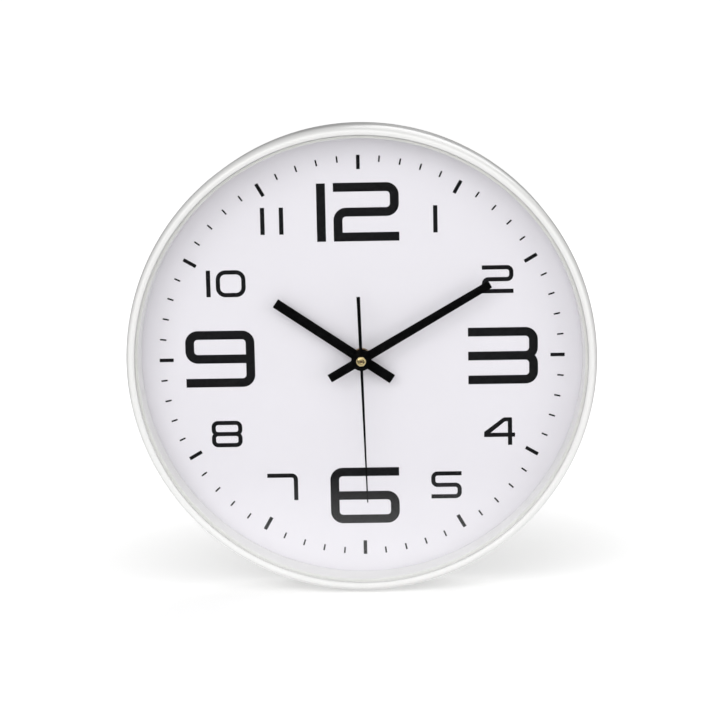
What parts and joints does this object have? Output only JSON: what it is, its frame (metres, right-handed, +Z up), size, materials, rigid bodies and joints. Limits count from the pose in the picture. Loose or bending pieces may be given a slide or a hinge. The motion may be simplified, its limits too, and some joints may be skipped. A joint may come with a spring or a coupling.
{
  "type": "wall clock",
  "caption": "Round analogue quartz wall clock: white moulded case, flat glass, printed dial, three hands on a battery movement that hangs from a keyhole.",
  "frame": {"origin": "hanging point: the top of the keyhole slot in the hanger pocket, projected onto the wall plane", "axes": "+Z up towards the 12, +Y out of the back into the wall, so the dial faces -Y; +X to the right for someone reading the clock"},
  "size_m": [0.3, 0.0443, 0.3],
  "materials": {
    "case_plastic": "glossy white moulded plastic",
    "clear_glass": "clear flat glass",
    "seal_foam": "white adhesive foam tape",
    "dial_sheet": "satin white printed sheet",
    "dial_ink": "satin black printing ink",
    "plate_plastic": "satin white moulded plastic",
    "hand_paint": "aluminium sheet painted matt black",
    "brass": "turned brass",
    "zinc_steel": "zinc plated steel",
    "arbor_steel": "polished steel",
    "spring_steel": "nickel plated spring steel",
    "stator_steel": "bare electrical steel",
    "housing_plastic": "fine textured black plastic",
    "gear_plastic": "natural acetal",
    "gear_plastic_blue": "dyed acetal",
    "knob_plastic": "light grey plastic",
    "rubber": "matt black rubber",
    "magnet": "sintered ferrite",
    "bobbin_plastic": "natural nylon",
    "copper": "enamelled copper wire",
    "board": "green solder mask on laminate",
    "epoxy": "glossy black epoxy",
    "cell_can": "printed sleeve on a steel can"
  },
  "bodies": {
    "case": {"case_frame": "case_plastic", "glass_lens": "clear_glass", "glass_seal": "seal_foam", "dial_plate": "dial_sheet", "back_plate": "plate_plastic", "case_screw_1": "zinc_steel", "case_screw_2": "zinc_steel", "case_screw_3": "zinc_steel", "case_screw_4": "zinc_steel", "case_screw_5": "zinc_steel", "case_screw_6": "zinc_steel", "movement_housing": "housing_plastic", "movement_cover": "housing_plastic", "middle_plate": "gear_plastic", "threaded_bush": "brass", "rubber_washer": "rubber", "brass_washer": "brass", "dial_nut": "brass", "stator": "stator_steel", "coil_core": "stator_steel", "coil_bobbin": "bobbin_plastic", "coil_winding": "copper", "coil_lead_1": "copper", "coil_lead_2": "copper", "circuit_board": "board", "ic_chip": "epoxy", "quartz_crystal": "zinc_steel", "contact_positive": "spring_steel", "contact_negative": "spring_steel"},
    "seconds": {"second_hand": "hand_paint", "second_hand_cap": "brass", "seconds_arbor": "arbor_steel", "seconds_wheel": "gear_plastic"},
    "step": {"step_wheel": "gear_plastic"},
    "rotor": {"rotor_pinion": "gear_plastic", "rotor_magnet": "magnet"},
    "third": {"third_wheel": "gear_plastic_blue"},
    "centre": {"centre_wheel": "gear_plastic"},
    "minutes": {"minute_hand": "hand_paint", "minute_hand_bush": "brass", "minute_pipe": "gear_plastic", "clutch_spring": "spring_steel"},
    "motion_work": {"minute_wheel": "gear_plastic"},
    "hours": {"hour_hand": "hand_paint", "hour_hand_bush": "brass", "hour_wheel": "gear_plastic"},
    "setting": {"setting_gear": "gear_plastic", "setting_knob": "knob_plastic"},
    "cell": {"aa_cell": "cell_can"}
  },
  "joints": [
    {"name": "second_hand_turn", "type": "hinge", "parent": "case", "child": "seconds", "pos_m": [0, -0.022, -0.1023], "axis": [0, 1, 0], "continuous": true},
    {"name": "step_wheel_turn", "type": "hinge", "parent": "case", "child": "step", "pos_m": [0.00511, -0.007, -0.09453], "axis": [0, 1, 0], "continuous": true},
    {"name": "rotor_turn", "type": "hinge", "parent": "case", "child": "rotor", "pos_m": [0.012, -0.007, -0.0933], "axis": [0, 1, 0], "continuous": true},
    {"name": "third_wheel_turn", "type": "hinge", "parent": "case", "child": "third", "pos_m": [-0.00779, -0.007, -0.0978], "axis": [0, 1, 0], "continuous": true},
    {"name": "centre_wheel_turn", "type": "hinge", "parent": "case", "child": "centre", "pos_m": [0, -0.011, -0.1023], "axis": [0, 1, 0], "continuous": true},
    {"name": "minute_hand_turn", "type": "hinge", "parent": "case", "child": "minutes", "pos_m": [0, -0.022, -0.1023], "axis": [0, 1, 0], "continuous": true},
    {"name": "minute_wheel_turn", "type": "hinge", "parent": "case", "child": "motion_work", "pos_m": [-0.009, -0.013, -0.1023], "axis": [0, 1, 0], "continuous": true},
    {"name": "hour_hand_turn", "type": "hinge", "parent": "case", "child": "hours", "pos_m": [0, -0.022, -0.1023], "axis": [0, 1, 0], "continuous": true},
    {"name": "setting_knob_turn", "type": "hinge", "parent": "case", "child": "setting", "pos_m": [-0.01746, -0.007, -0.10538], "axis": [0, 1, 0], "continuous": true},
    {"name": "cell_removal", "type": "slide", "parent": "case", "child": "cell", "axis": [0, 1, 0], "range_m": [0, 0.02]}
  ],
  "couplings": [
    {"joint": "step_wheel_turn", "follows": "second_hand_turn", "ratio": -5},
    {"joint": "rotor_turn", "follows": "second_hand_turn", "ratio": 30},
    {"joint": "third_wheel_turn", "follows": "second_hand_turn", "ratio": -0.13333},
    {"joint": "centre_wheel_turn", "follows": "second_hand_turn", "ratio": 0.016667},
    {"joint": "minute_wheel_turn", "follows": "minute_hand_turn", "ratio": -0.33333},
    {"joint": "hour_hand_turn", "follows": "minute_hand_turn", "ratio": 0.083333},
    {"joint": "setting_knob_turn", "follows": "minute_hand_turn", "ratio": 1}
  ]
}
